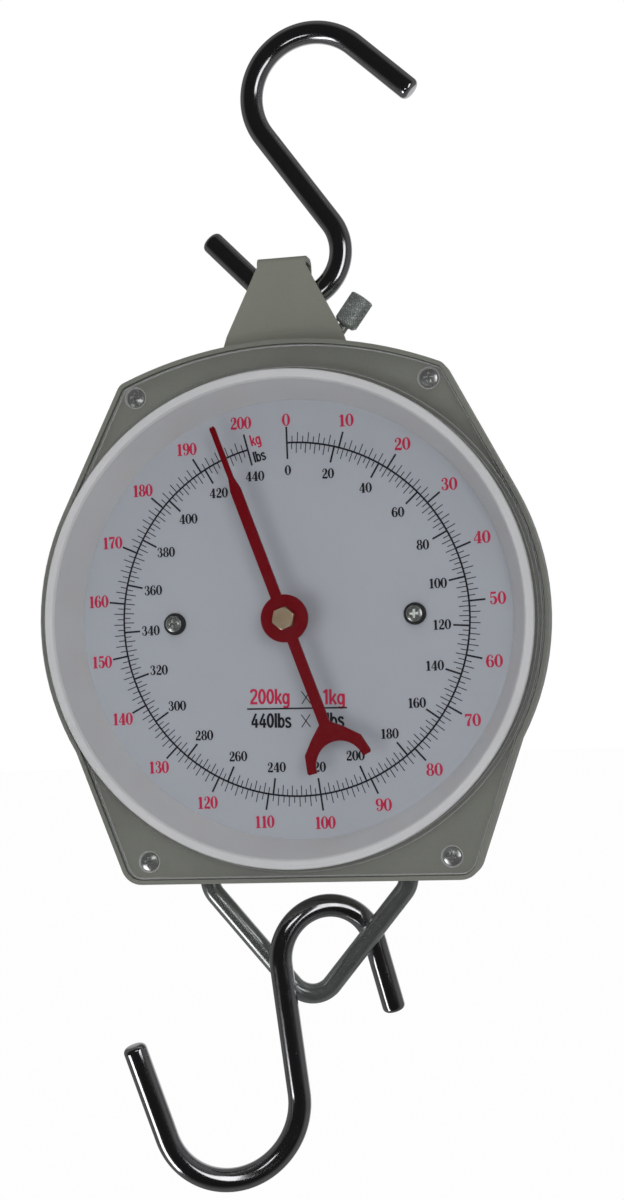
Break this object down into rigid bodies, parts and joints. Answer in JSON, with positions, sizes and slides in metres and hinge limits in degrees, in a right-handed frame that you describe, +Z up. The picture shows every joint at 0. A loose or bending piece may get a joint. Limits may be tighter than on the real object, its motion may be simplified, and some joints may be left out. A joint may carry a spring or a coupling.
{
  "type": "hanging dial scale",
  "caption": "Hanging dial scale with a spring-loaded bail and rack-driven pointer under a clear cover, an S hook in its top bracket and an S hook for the load below.",
  "frame": {"origin": "inside top of the upper hook's outer bend, where it sits on its support bar", "axes": "+X to the right of the dial, +Y away from the reader, through the case, +Z up, against the load"},
  "size_m": [0.244, 0.0792, 0.5543],
  "materials": {
    "chrome": "bright chrome plate",
    "case_paint": "satin grey-green",
    "bracket_paint": "satin grey-green",
    "clear_plastic": "clear polished",
    "zinc_steel": "zinc plated",
    "spring_steel": "oiled spring wire",
    "brass": "turned brass",
    "white_plastic": "semi-gloss white",
    "dial_face": "printed matt white",
    "pointer_red": "gloss red",
    "rubber": "matt black"
  },
  "bodies": {
    "upper_hook": {"top_hook": "chrome"},
    "case_body": {"case": "case_paint", "clear_cover": "clear_plastic", "cover_screws": "zinc_steel", "dial_surround": "white_plastic", "dial_plate": "dial_face", "dial_screws": "zinc_steel", "dial_collars": "rubber", "dial_posts": "zinc_steel", "hanger_bracket": "bracket_paint", "crossbar_plates": "zinc_steel", "crossbar_rivets": "zinc_steel", "upper_spring_pins": "zinc_steel", "chassis_plate": "zinc_steel", "chassis_screws": "zinc_steel", "movement_bridge": "zinc_steel", "bridge_pillars": "brass", "bridge_screws": "zinc_steel", "front_bush": "brass", "rear_bush": "brass", "roller_stud": "zinc_steel", "adjuster_block": "zinc_steel", "lever_pin": "zinc_steel", "main_spring_left": "spring_steel", "main_spring_right": "spring_steel", "zero_spring": "spring_steel", "stop_pads": "rubber"},
    "load_frame": {"load_yoke": "zinc_steel", "lower_spring_pins": "zinc_steel", "bail": "zinc_steel", "bail_nuts": "zinc_steel", "rack": "brass", "rack_pin": "zinc_steel"},
    "pointer_train": {"spindle": "brass", "pinion": "brass", "pointer": "pointer_red", "pointer_nut": "brass"},
    "rack_guide": {"guide_roller": "brass"},
    "zero_screw": {"thumb_screw": "zinc_steel", "screw_clip": "zinc_steel"},
    "zero_nut": {"adjuster_nut": "brass"},
    "zero_arm": {"zero_lever": "brass"},
    "lower_hook": {"load_hook": "chrome"}
  },
  "joints": [
    {"name": "case_swing", "type": "hinge", "parent": "upper_hook", "child": "case_body", "pos_m": [-0.01281, 0, -0.1006], "axis": [0, 1, 0], "range_deg": [-50, 50]},
    {"name": "load_travel", "type": "slide", "parent": "case_body", "child": "load_frame", "axis": [0, 0, -1], "range_m": [0, 0.0256], "stiffness_N_per_m": 81700, "deforming": ["main_spring_left", "main_spring_right", "zero_spring"]},
    {"name": "pointer_turn", "type": "hinge", "parent": "case_body", "child": "pointer_train", "pos_m": [-0.01761, -0.01, -0.2772], "axis": [0, 1, 0], "range_deg": [0, 366.89]},
    {"name": "guide_spin", "type": "hinge", "parent": "case_body", "child": "rack_guide", "pos_m": [-0.00449, 0, -0.2772], "axis": [0, 1, 0], "range_deg": [-419.58, 0]},
    {"name": "zero_turn", "type": "hinge", "parent": "case_body", "child": "zero_screw", "pos_m": [0.01169, 0, -0.1361], "axis": [-0.6018, 0, -0.7986], "range_deg": [-495, 495]},
    {"name": "zero_feed", "type": "slide", "parent": "case_body", "child": "zero_nut", "axis": [-0.6018, 0, -0.7986], "range_m": [-0.001, 0.001]},
    {"name": "zero_tilt", "type": "hinge", "parent": "case_body", "child": "zero_arm", "pos_m": [-0.00161, 0, -0.1852], "axis": [0, 1, 0], "range_deg": [-3.33, 3.33]},
    {"name": "hook_swing", "type": "hinge", "parent": "load_frame", "child": "lower_hook", "pos_m": [-0.00911, 0, -0.4383], "axis": [0, 1, 0], "range_deg": [-42, 6]}
  ],
  "couplings": [
    {"joint": "pointer_turn", "follows": "load_travel", "rad_per_m": 250},
    {"joint": "guide_spin", "follows": "load_travel", "rad_per_m": -285.71},
    {"joint": "zero_turn", "follows": "zero_feed", "rad_per_m": 7854},
    {"joint": "zero_tilt", "follows": "zero_feed", "rad_per_m": -52.834}
  ]
}
